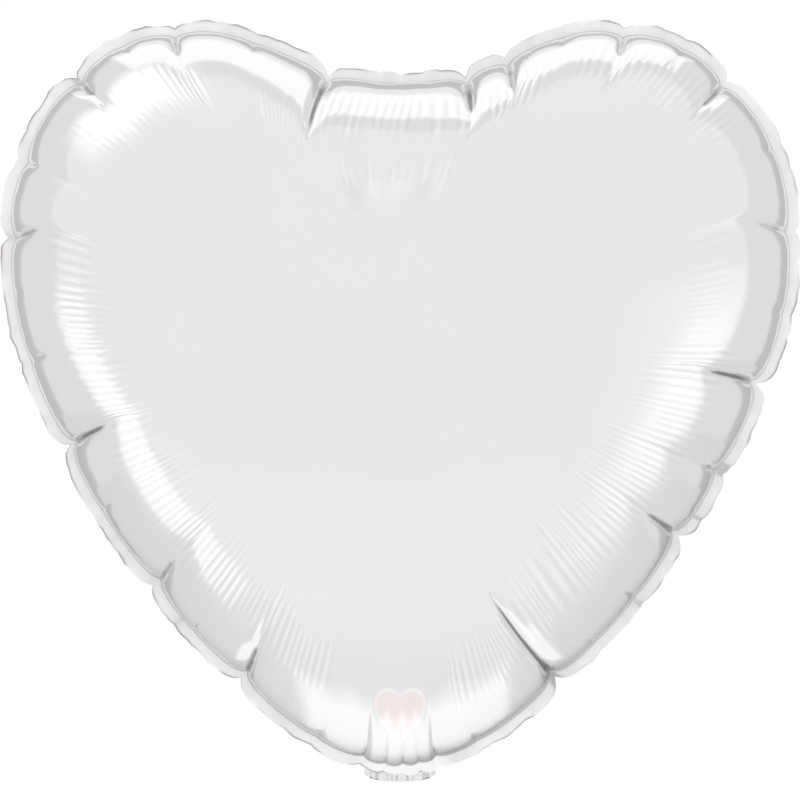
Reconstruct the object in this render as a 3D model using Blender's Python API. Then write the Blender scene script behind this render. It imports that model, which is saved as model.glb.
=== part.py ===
"""Heart-shaped foil balloon, 457 mm flat size, filled and standing upright, in metres.

The front faces -Y and +Z is up. The seam lies in the plane y = 0, and the origin is on the crease
where the filling tail leaves the tip. Two foil panels meet at a flat heat-sealed margin. The tail is
folded up behind the balloon, and a valve of two thin films runs from the tail into the gas space.
Positions in the plane of the seam are held as complex numbers, x + z*1j.
"""

import math

import bmesh
import bpy
import numpy as np
from mathutils.geometry import interpolate_bezier

# The seam of the filled balloon, right half. Each "pull" is the length of a Bezier handle.
NOTCH_Z = 0.3327
NOTCH_PULL = 0.0371
LOBE_TOP_X = 0.0991
LOBE_TOP_Z = 0.3586
LOBE_INNER_PULL = 0.0296
LOBE_OUTER_PULL = 0.0548
SEAM_HALF_WIDTH = 0.1859
WIDEST_Z = 0.2610
WIDEST_UP_PULL = 0.0442
WIDEST_DOWN_PULL = 0.1130
TIP_Z = 0.0075
TIP_PULL = 0.0545

# The inflated panels.
CROWN_HEIGHT = 0.0880  # seam plane to the fullest point of one panel
TIP_TAPER = 0.68  # share of the height lost at the tip, where flat film closes like a cone
TIP_TAPER_LENGTH = 0.050
CREASES = 20  # gathers round the seam
CREASE_DEPTH = 0.10  # share of the height lost in a gather
CREASE_INNER_RING = 0.5  # ring share where the gathers die out
FILM = 0.00003
SEAM_MARGIN = 0.0060
LAYER_GAP = 0.0003  # left between films that lie on each other
SEAM_HALF_GAP = LAYER_GAP / 2

# The valve.
VALVE_FILM = 0.00003
VALVE_HALF_WIDTH = 0.0115
VALVE_SIDE_CLEARANCE = 0.0015
VALVE_HALF_GAP = LAYER_GAP / 2
VALVE_TAIL_LENGTH = 0.0300
VALVE_START = 0.0020
VALVE_TOP = 0.0950
VALVE_LIP = 0.0012  # how far each film leans out at its free upper end
VALVE_LIP_POWER = 4

# The neck, where the margin is left open for the valve.
NECK_HALF_WIDTH = VALVE_HALF_WIDTH + VALVE_SIDE_CLEARANCE
NECK_FADE = 0.0110
NECK_OUTER_LIFT = 0.0008
NECK_SEAM_LIFT = 0.0026
NECK_FADE_POWER = 8

# The filling tail, folded up behind the tip.
TAIL_START = 0.0030
TAIL_LENGTH = 0.0560
TAIL_SEAL_WIDTH = 0.0020
TAIL_SEAL_SLOPE = 0.0020
TAIL_CHANNEL_HALF_WIDTH = VALVE_HALF_WIDTH + VALVE_SIDE_CLEARANCE
TAIL_HALF_WIDTH = TAIL_CHANNEL_HALF_WIDTH + TAIL_SEAL_SLOPE + TAIL_SEAL_WIDTH
TAIL_CHANNEL_HALF_GAP = VALVE_HALF_GAP + VALVE_FILM + LAYER_GAP
TAIL_PANEL_CLEARANCE = 0.0004
FILL_HOLE_RADIUS = 0.0050
FILL_HOLE_FROM_CREASE = 0.0400

# Mesh density.
COLUMNS = 100
RINGS = 8
BEZIER_STEPS = 64
MEMBRANE_TERMS = 22
VALVE_ROWS = 10
CHORD_STEPS = 20
HOLE_SIDES = 32

PEARL_WHITE = (0.86, 0.86, 0.88, 1.0)
MILKY_CLEAR = (0.90, 0.92, 0.93, 1.0)


def clear_scene():
    """Removes every object the start-up scene brought."""
    for thing in list(bpy.data.objects):
        bpy.data.objects.remove(thing, do_unlink=True)


def seam_spans():
    """The half outline as three Bezier spans: notch to lobe top, to the widest point, to the tip."""
    notch = complex(0, NOTCH_Z)
    lobe = complex(LOBE_TOP_X, LOBE_TOP_Z)
    widest = complex(SEAM_HALF_WIDTH, WIDEST_Z)
    tip = complex(0, TIP_Z)
    return (
        (notch, notch + NOTCH_PULL, lobe - LOBE_INNER_PULL, lobe),
        (lobe, lobe + LOBE_OUTER_PULL, widest + WIDEST_UP_PULL * 1j, widest),
        (widest, widest - WIDEST_DOWN_PULL * 1j, tip + TIP_PULL, tip),
    )


def seam_outline():
    """The whole seam, COLUMNS points evenly spaced, from the notch clockwise as seen from the front."""
    drawn = []
    for span in seam_spans():
        corners = [(point.real, point.imag, 0.0) for point in span]
        drawn += [complex(p.x, p.y) for p in interpolate_bezier(*corners, BEZIER_STEPS)]
    drawn = np.array(drawn)
    travelled = np.concatenate([[0.0], np.cumsum(np.abs(np.diff(drawn)))])
    stops = np.linspace(0.0, travelled[-1], COLUMNS // 2 + 1)
    right = np.interp(stops, travelled, drawn.real) + 1j * np.interp(stops, travelled, drawn.imag)
    left = -np.conj(right[-2:0:-1])
    return np.concatenate([right, left])


def inner_ring(outline, share):
    """The outline drawn in towards the middle: each Fourier term is damped by share to its order."""
    terms = np.fft.fft(outline)
    orders = np.abs(np.fft.fftfreq(len(outline), 1 / len(outline)))
    return np.fft.ifft(terms * share**orders)


class Membrane:
    """A film held at the outline under even pressure: its sag u has Laplacian -1 and is 0 at the seam."""

    def __init__(self, outline):
        self.middle = outline.mean()
        self.scale = np.abs(outline - self.middle).max()
        away = self.local(outline)
        terms = self.terms(away)
        self.weights = np.linalg.lstsq(terms, np.abs(away) ** 2 / 4, rcond=None)[0]
        self.most = self.sag(inner_ring(outline, 0.0)).max()

    def local(self, points):
        """Points measured from the middle along +Z, so that terms even in x are real parts."""
        return (points - self.middle) / self.scale / 1j

    def terms(self, away):
        """Harmonic polynomials up to the chosen degree."""
        return np.stack([(away**order).real for order in range(MEMBRANE_TERMS + 1)], axis=1)

    def sag(self, points):
        """How far the membrane bulges at these points."""
        away = self.local(points)
        return self.terms(away) @ self.weights - np.abs(away) ** 2 / 4

    def height(self, points):
        """A filled panel stands as the square root of the sag, as an ellipsoid does over an ellipse."""
        full = np.sqrt(np.maximum(self.sag(points) / self.most, 0.0))
        taper = 1 - TIP_TAPER * np.exp(-(points.imag - TIP_Z) / TIP_TAPER_LENGTH)
        return CROWN_HEIGHT * full * taper


def neck_share(outline):
    """1 across the neck and 0 along the sealed seam, for each column."""
    low = outline.imag < outline.mean().imag
    within = (NECK_HALF_WIDTH + NECK_FADE - np.abs(outline.real)) / NECK_FADE
    return np.where(low, np.clip(within, 0.0, 1.0), 0.0)


def gather(share):
    """How much each column loses to the gathers on this ring: creases with pillows between them."""
    column = np.arange(COLUMNS)
    pillow = np.abs(np.sin(np.pi * CREASES * column / COLUMNS))
    reach = np.clip((share - CREASE_INNER_RING) / (1 - CREASE_INNER_RING), 0.0, 1.0)
    return CREASE_DEPTH * (1 - pillow) * math.sin(math.pi * reach**2)


def margin_edge(outline):
    """The outer edge of the flat seal, one margin outside the seam."""
    along = np.roll(outline, -1) - np.roll(outline, 1)
    return outline + SEAM_MARGIN * 1j * along / np.abs(along)


def panel_rings():
    """Rings of a panel from near the crown to the margin's edge, each with its distance off the plane."""
    outline = seam_outline()
    film = Membrane(outline)
    neck = neck_share(outline)
    rings = []
    for step in range(1, RINGS):
        share = math.sin(math.pi / 2 * step / RINGS)
        ring = inner_ring(outline, share)
        lift = NECK_SEAM_LIFT * neck * share**NECK_FADE_POWER
        rings.append((ring, SEAM_HALF_GAP + lift + film.height(ring) * (1 - gather(share))))
    rings.append((outline, SEAM_HALF_GAP + NECK_SEAM_LIFT * neck))
    rings.append((margin_edge(outline), SEAM_HALF_GAP + NECK_OUTER_LIFT * neck))
    return rings, (film.middle, SEAM_HALF_GAP + CROWN_HEIGHT)


def add_mesh(name, points, faces):
    """A mesh object with its faces turned to agree."""
    mesh = bpy.data.meshes.new(name)
    mesh.from_pydata(points.tolist(), [], faces)
    thing = bpy.data.objects.new(name, mesh)
    bpy.context.collection.objects.link(thing)
    return thing


def strip_faces(rows, columns, closed):
    """Quads between neighbouring rows of a grid, joined round into a ring if closed."""
    last = columns if closed else columns - 1
    return [
        (
            row * columns + column,
            row * columns + (column + 1) % columns,
            (row + 1) * columns + (column + 1) % columns,
            (row + 1) * columns + column,
        )
        for row in range(rows - 1)
        for column in range(last)
    ]


def face_towards(thing, side):
    """Turns the faces of an open film so that they look along side * Y on average."""
    mesh = thing.data
    mesh.update()
    facing = sum(face.normal.y * face.area for face in mesh.polygons)
    if facing * side < 0:
        mesh.flip_normals()


def thicken(thing, film):
    """Gives an open film its thickness, outwards."""
    wall = thing.modifiers.new("film", "SOLIDIFY")
    wall.thickness = film
    wall.offset = 1.0
    wall.use_even_offset = True


def finish(thing, look):
    """Smooth shading and a material."""
    for face in thing.data.polygons:
        face.use_smooth = True
    thing.data.materials.append(look)


def make_panel(name, side, look):
    """One foil panel: a fan at the crown, rings down to the seam, and the flat margin."""
    rings, (middle, crown) = panel_rings()
    points = [
        np.stack([ring.real, side * off, ring.imag], axis=1) for ring, off in rings
    ]
    points.append(np.array([[middle.real, side * crown, middle.imag]]))
    crown_index = len(rings) * COLUMNS
    fan = [(column, (column + 1) % COLUMNS, crown_index) for column in range(COLUMNS)]
    faces = strip_faces(len(rings), COLUMNS, closed=True)
    panel = add_mesh(name, np.concatenate(points), faces + [face[::-1] for face in fan])
    face_towards(panel, side)
    thicken(panel, FILM)
    finish(panel, look)
    return panel


def tail_fold_angle():
    """The smallest angle between the folded tail and the seam plane that clears the rear panel.

    A panel point at distance r from the crease and at angle a needs a + asin(reach / r), where reach
    is from the middle of the tail to the panel. Points are taken all along the chords between rings.
    """
    rings = panel_rings()[0][::-1]
    columns = np.abs(rings[1][0].real) < TAIL_HALF_WIDTH + NECK_FADE
    columns &= rings[1][0].imag < WIDEST_Z
    up = np.array([ring.imag[columns] for ring, off in rings])
    out = np.array([off[columns] + FILM for ring, off in rings])
    share = np.linspace(0.0, 1.0, CHORD_STEPS)[:, None, None]
    up = (up[:-1] + share * (up[1:] - up[:-1])).ravel()
    out = (out[:-1] + share * (out[1:] - out[:-1])).ravel()
    away = np.hypot(up, out)
    beside = (away > TAIL_START) & (away < TAIL_LENGTH)
    reach = TAIL_CHANNEL_HALF_GAP + FILM + TAIL_PANEL_CLEARANCE
    needed = np.arctan2(out, up)[beside] + np.arcsin(reach / away[beside])
    return needed.max()


def tail_section():
    """Across the tail: x, and the half gap, which closes from the channel to the side seals."""
    channel = TAIL_CHANNEL_HALF_WIDTH
    seal = channel + TAIL_SEAL_SLOPE
    across = np.array([-TAIL_HALF_WIDTH, -seal, -channel, channel, seal, TAIL_HALF_WIDTH])
    open_gap = TAIL_CHANNEL_HALF_GAP
    gaps = np.array([SEAM_HALF_GAP] * 2 + [open_gap] * 2 + [SEAM_HALF_GAP] * 2)
    return across, gaps


def make_tail_ply(name, side, look):
    """One foil ply of the tail, built straight up from the crease and then leaned back on it."""
    across, gaps = tail_section()
    rows = [
        np.stack([across, side * gaps, np.full(len(across), z)], axis=1)
        for z in (TAIL_START, TAIL_LENGTH)
    ]
    ply = add_mesh(name, np.concatenate(rows), strip_faces(2, len(across), closed=False))
    face_towards(ply, side)
    thicken(ply, FILM)
    finish(ply, look)
    lean_on_crease(ply)
    return ply


def lean_on_crease(thing):
    """Turns a piece of the tail about the crease, which is the X axis through the origin."""
    thing.rotation_euler.x = -tail_fold_angle()


def cut_fill_hole(ply):
    """Cuts the round filling hole through one ply."""
    tool = bmesh.new()
    bmesh.ops.create_cone(
        tool,
        cap_ends=True,
        segments=HOLE_SIDES,
        radius1=FILL_HOLE_RADIUS,
        radius2=FILL_HOLE_RADIUS,
        depth=4 * TAIL_CHANNEL_HALF_GAP,
    )
    mesh = bpy.data.meshes.new("fill_hole_cutter")
    tool.to_mesh(mesh)
    tool.free()
    cutter = bpy.data.objects.new("fill_hole_cutter", mesh)
    bpy.context.collection.objects.link(cutter)
    cutter.parent = ply
    cutter.location = (0.0, TAIL_CHANNEL_HALF_GAP, FILL_HOLE_FROM_CREASE)
    cutter.rotation_euler.x = math.radians(90)
    cutter.hide_render = True
    cutter.display_type = "WIRE"
    hole = ply.modifiers.new("fill_hole", "BOOLEAN")
    hole.operation = "DIFFERENCE"
    hole.solver = "EXACT"
    hole.object = cutter


def make_valve_film(name, side, start, top, lip, look):
    """A flat strip of valve film that leans out by lip at its free end."""
    heights = np.linspace(start, top, VALVE_ROWS)
    rise = (heights - start) / (top - start)
    off = side * (VALVE_HALF_GAP + lip * rise**VALVE_LIP_POWER)
    edges = [
        np.stack([np.full(VALVE_ROWS, x), off, heights], axis=1)
        for x in (-VALVE_HALF_WIDTH, VALVE_HALF_WIDTH)
    ]
    film = add_mesh(name, np.concatenate(edges), strip_faces(2, VALVE_ROWS, closed=False))
    face_towards(film, side)
    thicken(film, VALVE_FILM)
    finish(film, look)
    return film


def make_look(name, colour, metallic, roughness):
    """A Principled material."""
    look = bpy.data.materials.new(name)
    look.use_nodes = True
    shader = look.node_tree.nodes["Principled BSDF"]
    shader.inputs["Base Color"].default_value = colour
    shader.inputs["Metallic"].default_value = metallic
    shader.inputs["Roughness"].default_value = roughness
    return look


def make_envelope():
    """The front and rear panels."""
    make_panel("front_panel", -1, make_look("foil_front", PEARL_WHITE, 0.3, 0.25))
    make_panel("rear_panel", 1, make_look("foil_rear", PEARL_WHITE, 0.3, 0.25))


def make_tail():
    """The two plies of the tail. Folded up, the front ply is the outer one, with the filling hole."""
    outer = make_tail_ply("tail_front_ply", 1, make_look("foil_tail_front", PEARL_WHITE, 0.3, 0.3))
    cut_fill_hole(outer)
    make_tail_ply("tail_rear_ply", -1, make_look("foil_tail_rear", PEARL_WHITE, 0.3, 0.3))


def make_valve():
    """The two valve films, each in two lengths because the crease of the tail crosses them."""
    inside = (VALVE_START, VALVE_TOP, VALVE_LIP)
    make_valve_film("valve_front_film", -1, *inside, make_look("film_front", MILKY_CLEAR, 0.0, 0.4))
    make_valve_film("valve_rear_film", 1, *inside, make_look("film_rear", MILKY_CLEAR, 0.0, 0.4))
    in_tail = (TAIL_START, TAIL_START + VALVE_TAIL_LENGTH, 0.0)
    for name, side in (("valve_front_tail", 1), ("valve_rear_tail", -1)):
        look = make_look(f"film_{name}", MILKY_CLEAR, 0.0, 0.4)
        lean_on_crease(make_valve_film(name, side, *in_tail, look))


def main():
    """Builds the whole balloon."""
    clear_scene()
    make_envelope()
    make_tail()
    make_valve()


main()
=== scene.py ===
"""Heart-shaped foil balloon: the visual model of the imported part, laid out as an add-on and run as a script.

Lengths are metres. The front faces -Y, +Z is up, and the seam lies in the plane y = 0. Positions in the
plane of the seam are complex numbers, x + z*1j. "Turn" is a place round the seam, from 0 at the middle of
the notch, over the right lobe, past the tip at 0.5 and back up the left side to 1. "Inset" is a distance
in from the seam, measured in the seam's plane.
"""

import math

import bpy
import numpy as np
from bpy.props import FloatProperty, FloatVectorProperty, IntProperty, PointerProperty
from mathutils import Matrix, Vector


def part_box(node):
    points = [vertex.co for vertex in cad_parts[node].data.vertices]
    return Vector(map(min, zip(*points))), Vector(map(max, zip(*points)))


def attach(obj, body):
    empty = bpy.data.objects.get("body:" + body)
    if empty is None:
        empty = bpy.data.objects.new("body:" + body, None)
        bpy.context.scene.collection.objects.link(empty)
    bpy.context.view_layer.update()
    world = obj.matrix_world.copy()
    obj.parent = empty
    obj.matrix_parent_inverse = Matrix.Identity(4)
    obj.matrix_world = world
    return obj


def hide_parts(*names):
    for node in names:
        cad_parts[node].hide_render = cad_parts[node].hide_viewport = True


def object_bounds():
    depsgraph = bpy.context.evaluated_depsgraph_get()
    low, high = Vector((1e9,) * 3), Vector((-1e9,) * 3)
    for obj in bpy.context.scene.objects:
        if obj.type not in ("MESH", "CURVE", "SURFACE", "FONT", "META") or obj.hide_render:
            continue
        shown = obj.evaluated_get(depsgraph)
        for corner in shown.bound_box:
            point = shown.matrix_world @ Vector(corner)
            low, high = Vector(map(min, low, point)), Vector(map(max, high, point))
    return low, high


bl_info = {
    "name": "Foil heart balloon",
    "version": (1, 0, 0),
    "blender": (4, 5, 0),
    "location": "View3D > Sidebar > Balloon",
    "description": "Builds a filled heart-shaped foil balloon on its packed frame",
    "category": "Add Mesh",
}

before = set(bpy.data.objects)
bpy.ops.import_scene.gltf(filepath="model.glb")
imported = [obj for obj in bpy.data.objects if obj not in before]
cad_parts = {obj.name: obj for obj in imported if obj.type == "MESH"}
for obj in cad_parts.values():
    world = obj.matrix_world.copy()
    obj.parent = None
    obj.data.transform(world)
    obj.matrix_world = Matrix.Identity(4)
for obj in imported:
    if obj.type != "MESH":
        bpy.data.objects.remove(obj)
CAD_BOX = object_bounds()
PANEL_LOW, PANEL_HIGH = (tuple(corner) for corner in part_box("front_panel"))
MARGIN = 0.006
MM = 0.001

# The neck: half of its width and its top, how softly both end, and how far each panel stands off the seam
# plane there, at the cut edge of the margin and at the seam.
NECK_HALF_WIDTH, NECK_SIDE_FADE = 0.011, 0.015
NECK_TOP, NECK_TOP_FADE = 0.060, 0.030
NECK_EDGE_GAP, NECK_SEAM_GAP = 0.0014, 0.0036
FILM_GAP = 0.00005  # each panel off the seam plane everywhere else


# ---------------------------------------------------------------- sizes and colours


class HeartShape(bpy.types.PropertyGroup):
    """The seam of the filled balloon and how far the panels stand off it."""

    half_width: FloatProperty(
        name="Half width",
        description="Middle line to the widest point of the seam",
        default=PANEL_HIGH[0] - MARGIN,
        subtype="DISTANCE",
    )
    widest_z: FloatProperty(
        name="Widest height", description="Height of the widest point", default=0.261, subtype="DISTANCE"
    )
    lobe_x: FloatProperty(
        name="Lobe centre", description="Middle line to the top of a lobe", default=0.0991, subtype="DISTANCE"
    )
    lobe_z: FloatProperty(
        name="Lobe height",
        description="Height of the seam at the top of a lobe",
        default=PANEL_HIGH[2] - MARGIN,
        subtype="DISTANCE",
    )
    notch_z: FloatProperty(
        name="Notch height", description="Height of the seam in the notch", default=0.3327, subtype="DISTANCE"
    )
    tip_z: FloatProperty(
        name="Tip height",
        description="Height of the seam at the tip",
        default=PANEL_LOW[2] + MARGIN,
        subtype="DISTANCE",
    )
    crown: FloatProperty(
        name="Crown",
        description="Seam plane to the fullest point of a panel",
        default=-PANEL_LOW[1],
        subtype="DISTANCE",
    )
    margin: FloatProperty(
        name="Seal margin", description="Width of the flat heat seal", default=MARGIN, subtype="DISTANCE"
    )
    columns: IntProperty(name="Columns", description="Grid columns round the seam", default=1536)


class GatherSizes(bpy.types.PropertyGroup):
    """The gathers, comb wrinkles and pillows round the rim."""

    pillow: FloatProperty(
        name="Pillow", description="Bulge of the rim between two creases", default=0.0014, subtype="DISTANCE"
    )
    notch: FloatProperty(
        name="Seam pull-in",
        description="How far a deep crease draws the seam in",
        default=0.0042,
        subtype="DISTANCE",
    )
    fold: FloatProperty(
        name="Fold depth", description="Depth of a deep crease", default=0.0034, subtype="DISTANCE"
    )
    comb_pitch: FloatProperty(
        name="Comb pitch", description="Spacing of the fine comb wrinkles", default=0.0040, subtype="DISTANCE"
    )
    comb_height: FloatProperty(
        name="Comb height",
        description="Height of the fine comb wrinkles",
        default=0.00022,
        subtype="DISTANCE",
    )


class FoilFinish(bpy.types.PropertyGroup):
    """Colours and gloss of the films."""

    pearl: FloatVectorProperty(
        name="Pearl white",
        description="Colour of the foil",
        default=(0.83, 0.825, 0.835),
        subtype="COLOR",
        size=3,
        min=0,
        max=1,
    )
    metal: FloatProperty(
        name="Metal", description="Share of mirror-like metal in the foil", default=0.6, subtype="FACTOR"
    )
    gloss: FloatProperty(
        name="Roughness", description="Roughness of the foil", default=0.07, subtype="FACTOR"
    )
    # The colour that the painted shade darkens the foil towards, in the cores of the folds and along the seam.
    fold: FloatVectorProperty(
        name="Fold shadow",
        description="Colour of the foil in the cores of its folds",
        default=(0.20, 0.20, 0.21),
        subtype="COLOR",
        size=3,
        min=0,
        max=1,
    )
    film: FloatVectorProperty(
        name="Valve film",
        description="Colour of the valve film",
        default=(0.86, 0.89, 0.90),
        subtype="COLOR",
        size=3,
        min=0,
        max=1,
    )


# ---------------------------------------------------------------- shader expressions


class Expr:
    """A socket that takes part in Python sums, so that a formula adds its own Math nodes."""

    def __init__(self, nodes, socket):
        self.nodes = nodes
        self.socket = socket

    def math(self, operation, *others):
        """One Math node on this value and the others."""
        return self.nodes.add("ShaderNodeMath", {"operation": operation}, (self, *others))

    def __add__(self, other):
        return self.math("ADD", other)

    def __radd__(self, other):
        return self.math("ADD", other)

    def __sub__(self, other):
        return self.math("SUBTRACT", other)

    def __rsub__(self, other):
        return self.nodes.add("ShaderNodeMath", {"operation": "SUBTRACT"}, (other, self))

    def __mul__(self, other):
        return self.math("MULTIPLY", other)

    def __rmul__(self, other):
        return self.math("MULTIPLY", other)

    def __truediv__(self, other):
        return self.math("DIVIDE", other)

    def __pow__(self, other):
        return self.math("POWER", other)


class Nodes:
    """The node tree of one new material, or of a light or the world that is handed in."""

    def __init__(self, name, owner=None):
        self.material = None if owner else bpy.data.materials.new(name)
        owner = owner or self.material
        owner.use_nodes = True
        self.tree = owner.node_tree
        self.shader = self.tree.nodes.get("Principled BSDF")

    def add(self, kind, settings=None, inputs=(), output=0):
        """A node of this kind: its settings first, then values or links by place or by socket name."""
        node = self.tree.nodes.new(kind)
        for key, value in (settings or {}).items():
            setattr(node, key, value)
        named = inputs.items() if isinstance(inputs, dict) else enumerate(inputs)
        for key, value in named:
            self.put(node.inputs[key], value)
        return Expr(self, node.outputs[output])

    def put(self, socket, value):
        """Links an expression to a socket, or sets a plain value on it."""
        if isinstance(value, Expr):
            self.tree.links.new(value.socket, socket)
        else:
            socket.default_value = value

    def parts(self, vector):
        """The x, y and z of a vector."""
        split = self.add("ShaderNodeSeparateXYZ", inputs=(vector,)).socket.node
        return tuple(Expr(self, socket) for socket in split.outputs)

    def set(self, **values):
        """Values or links for the Principled shader, with spaces in socket names written as _."""
        for key, value in values.items():
            self.put(self.shader.inputs[key.replace("_", " ")], value)

    def ramp(self, value, low, high):
        """0 below low, 1 above high, smooth between them."""
        return self.add(
            "ShaderNodeMapRange",
            {"interpolation_type": "SMOOTHSTEP"},
            {"Value": value, "From Min": low, "From Max": high},
        )

    def mix(self, share, first, second):
        """A colour between two colours."""
        return self.add(
            "ShaderNodeMix",
            {"data_type": "RGBA"},
            {"Factor": share, "A": first, "B": second},
            output="Result",
        )


# ---------------------------------------------------------------- the heart


def bezier(start, leave, arrive, end, count):
    """A cubic Bezier: the four points weighted by the Bernstein terms of t."""
    t = np.linspace(0, 1, count)
    return (
        (1 - t) ** 3 * start
        + 3 * (1 - t) ** 2 * t * leave
        + 3 * (1 - t) * t**2 * arrive
        + t**3 * end
    )


class Heart:
    """The smooth filled heart: its seam as a Fourier sum, and the stand-off of a panel over its plane."""

    ORDERS = 150
    POWERS = 30
    TIP_TAPER = 0.68
    TIP_TAPER_LENGTH = 0.050
    SPAN_POINTS = 400
    NOTCH_HANDLE = 0.0371
    LOBE_HANDLES = 0.0296, 0.0548
    WIDEST_HANDLES = 0.0442, 0.1130
    TIP_HANDLE = 0.0545

    def __init__(self, shape):
        self.shape = shape
        even = self.even_outline(4 * self.ORDERS)
        spectrum = np.fft.fft(even) / len(even)
        self.orders = np.arange(-self.ORDERS, self.ORDERS + 1)
        self.weights = spectrum[self.orders]
        self.length = np.abs(np.diff(np.append(even, even[0]))).sum()
        self.middle = even.mean()
        self.scale = np.abs(even - self.middle).max()
        away = self.local(even)
        self.harmonics = np.linalg.lstsq(self.powers(away), np.abs(away) ** 2 / 4, rcond=None)[0]
        self.most = self.sag(np.array([self.middle]))[0]

    def even_outline(self, count):
        """The seam at evenly spaced places: three Bezier spans for the right half, mirrored in x."""
        s = self.shape
        notch, tip = complex(0, s.notch_z), complex(0, s.tip_z)
        lobe, widest = complex(s.lobe_x, s.lobe_z), complex(s.half_width, s.widest_z)
        inner, outer = self.LOBE_HANDLES
        upper, lower = self.WIDEST_HANDLES
        points = self.SPAN_POINTS
        right = np.concatenate(
            [
                bezier(notch, notch + self.NOTCH_HANDLE, lobe - inner, lobe, points),
                bezier(lobe, lobe + outer, widest + upper * 1j, widest, points),
                bezier(widest, widest - lower * 1j, tip + self.TIP_HANDLE, tip, 2 * points),
            ]
        )
        travelled = np.concatenate([[0], np.cumsum(np.abs(np.diff(right)))])
        stops = np.linspace(0, travelled[-1], count // 2 + 1)
        half = np.interp(stops, travelled, right.real) + 1j * np.interp(stops, travelled, right.imag)
        return np.concatenate([half, -np.conj(half[-2:0:-1])])

    def plane(self, turn, share):
        """Points on the rings of these shares, 0 at the middle and 1 on the seam.

        Each Fourier term of the seam is damped by share to the power of its order, which is the harmonic
        map of a disc onto the heart. turn is a grid of columns by rows, or one column set for all rows.
        """
        rows = []
        for row, part in enumerate(share):
            waves = np.exp(2j * np.pi * np.outer(turn[:, row % turn.shape[1]], self.orders))
            rows.append(waves @ (self.weights * part ** np.abs(self.orders)))
        return np.stack(rows, axis=1)

    def local(self, points):
        """Points measured from the middle with +Z as the real axis."""
        return (points - self.middle) / self.scale / 1j

    def powers(self, away):
        """Real parts of the powers of a point: harmonic, and even in x."""
        return np.stack([(away**power).real for power in range(self.POWERS + 1)], axis=-1)

    def sag(self, points):
        """A membrane under even pressure, with Laplacian -1 inside the seam and 0 on it."""
        away = self.local(points)
        return self.powers(away) @ self.harmonics - np.abs(away) ** 2 / 4

    def stand_off(self, points, share):
        """Height over the seam's plane: the square root of the sag, less towards the tip like a cone."""
        sag = self.sag(points)
        sag = sag - sag[:, :1] * share[None, :] ** 12
        full = np.sqrt(np.maximum(sag / self.most, 0))
        taper = 1 - self.TIP_TAPER * np.exp(-(points.imag - self.shape.tip_z) / self.TIP_TAPER_LENGTH)
        return self.shape.crown * full * taper


# Each crease: place on the seam (mm), sideways run over its reach (mm), reach inwards (mm), strength.
FRONT_CREASES = np.array(
    [
        (32, 14, 21, 1.0),
        (53, 8, 16, 0.7),
        (82, 2, 7, 0.3),
        (111, 3, 13, 0.6),
        (140, 1, 7, 0.3),
        (166, 1, 19, 0.8),
        (205, -3, 8, 0.3),
        (245, -9, 18, 0.55),
        (284, -2, 8, 0.3),
        (320, -4, 30, 1.0),
        (366, 0, 7, 0.6),
        (402, 0, 21, 0.9),
        (437, 3, 9, 0.4),
        (466, 5, 9, 0.3),
        (492, 20, 58, 1.0),
        (540, 2, 6, 0.4),
        (561, 1, 6, 0.6),
        (570, 0, 4, 0.5),
        (578, 0, 5, 0.6),
        (587, 0, 4, 0.5),
        (598, -1, 6, 0.6),
        (622, -2, 6, 0.4),
        (668, 0, 18, 0.85),
        (700, 1, 8, 0.3),
        (729, 2, 15, 0.75),
        (772, 1, 8, 0.3),
        (807, 4, 23, 1.0),
        (851, 3, 12, 0.4),
        (885, 0, 7, 0.25),
        (911, 7, 14, 0.7),
        (948, 0, 7, 0.5),
        (995, 0, 12, 0.75),
        (1022, 0, 7, 0.3),
        (1047, -3, 12, 0.65),
        (1085, 0, 7, 0.35),
        (1124, -33, 37, 1.0),
    ]
)

# Each patch of comb wrinkles: first and last place on the seam (mm), first and last inset (mm), strength.
COMB_PATCHES = np.array(
    [
        (-34, 34, 9, 27, 1.3),
        (-26, 32, 38, 62, 0.8),
        (40, 78, 16, 36, 1.2),
        (96, 190, 9, 34, 0.7),
        (195, 300, 30, 56, 0.35),
        (300, 480, 20, 60, 1.0),
        (470, 550, 18, 46, 0.9),
        (625, 775, 20, 48, 1.0),
        (765, 915, 21, 45, 0.9),
        (975, 1052, 16, 44, 0.8),
        (1085, 1122, 20, 48, 0.7),
    ]
)


def rear_creases():
    """The rear panel's creases start at the same places on the seam and run in their own ways.

    A crease runs sideways less where its neighbours are near, so that they don't cross.
    """
    rng = np.random.default_rng(7)
    rear = FRONT_CREASES.copy()
    apart = np.diff(rear[:, 0], prepend=0, append=rear[-1, 0] + 60)
    room = np.minimum(apart[:-1], apart[1:])
    rear[:, 1] = rng.uniform(-6, 6, len(rear)) * np.clip((room - 12) / 20, 0, 1)
    rear[:, 2] = np.clip(rng.uniform(0.7, 1.4, len(rear)) * rear[:, 2], 8, 40)
    return rear


def smooth(value):
    """0 below 0, 1 above 1, and 3t^2 - 2t^3 between."""
    value = np.clip(value, 0, 1)
    return value * value * (3 - 2 * value)


def around(place, centre, length):
    """Signed distance along the closed seam."""
    return (place - centre + length / 2) % length - length / 2


def seam_turns(heart, count):
    """Column places, crowded together near the deep creases and even elsewhere."""
    even = np.linspace(0, 1, 8 * count + 1)
    crowd = np.ones_like(even)
    for place, _, _, strength in FRONT_CREASES:
        off = around(even * heart.length, place * MM, heart.length)
        crowd += 3.0 * strength**2 * np.exp(-((off / 0.0030) ** 2))
    counted = np.concatenate([[0], np.cumsum((crowd[1:] + crowd[:-1]) / 2)])
    return np.interp(np.linspace(0, counted[-1], count + 1)[:-1], counted, even)


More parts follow.
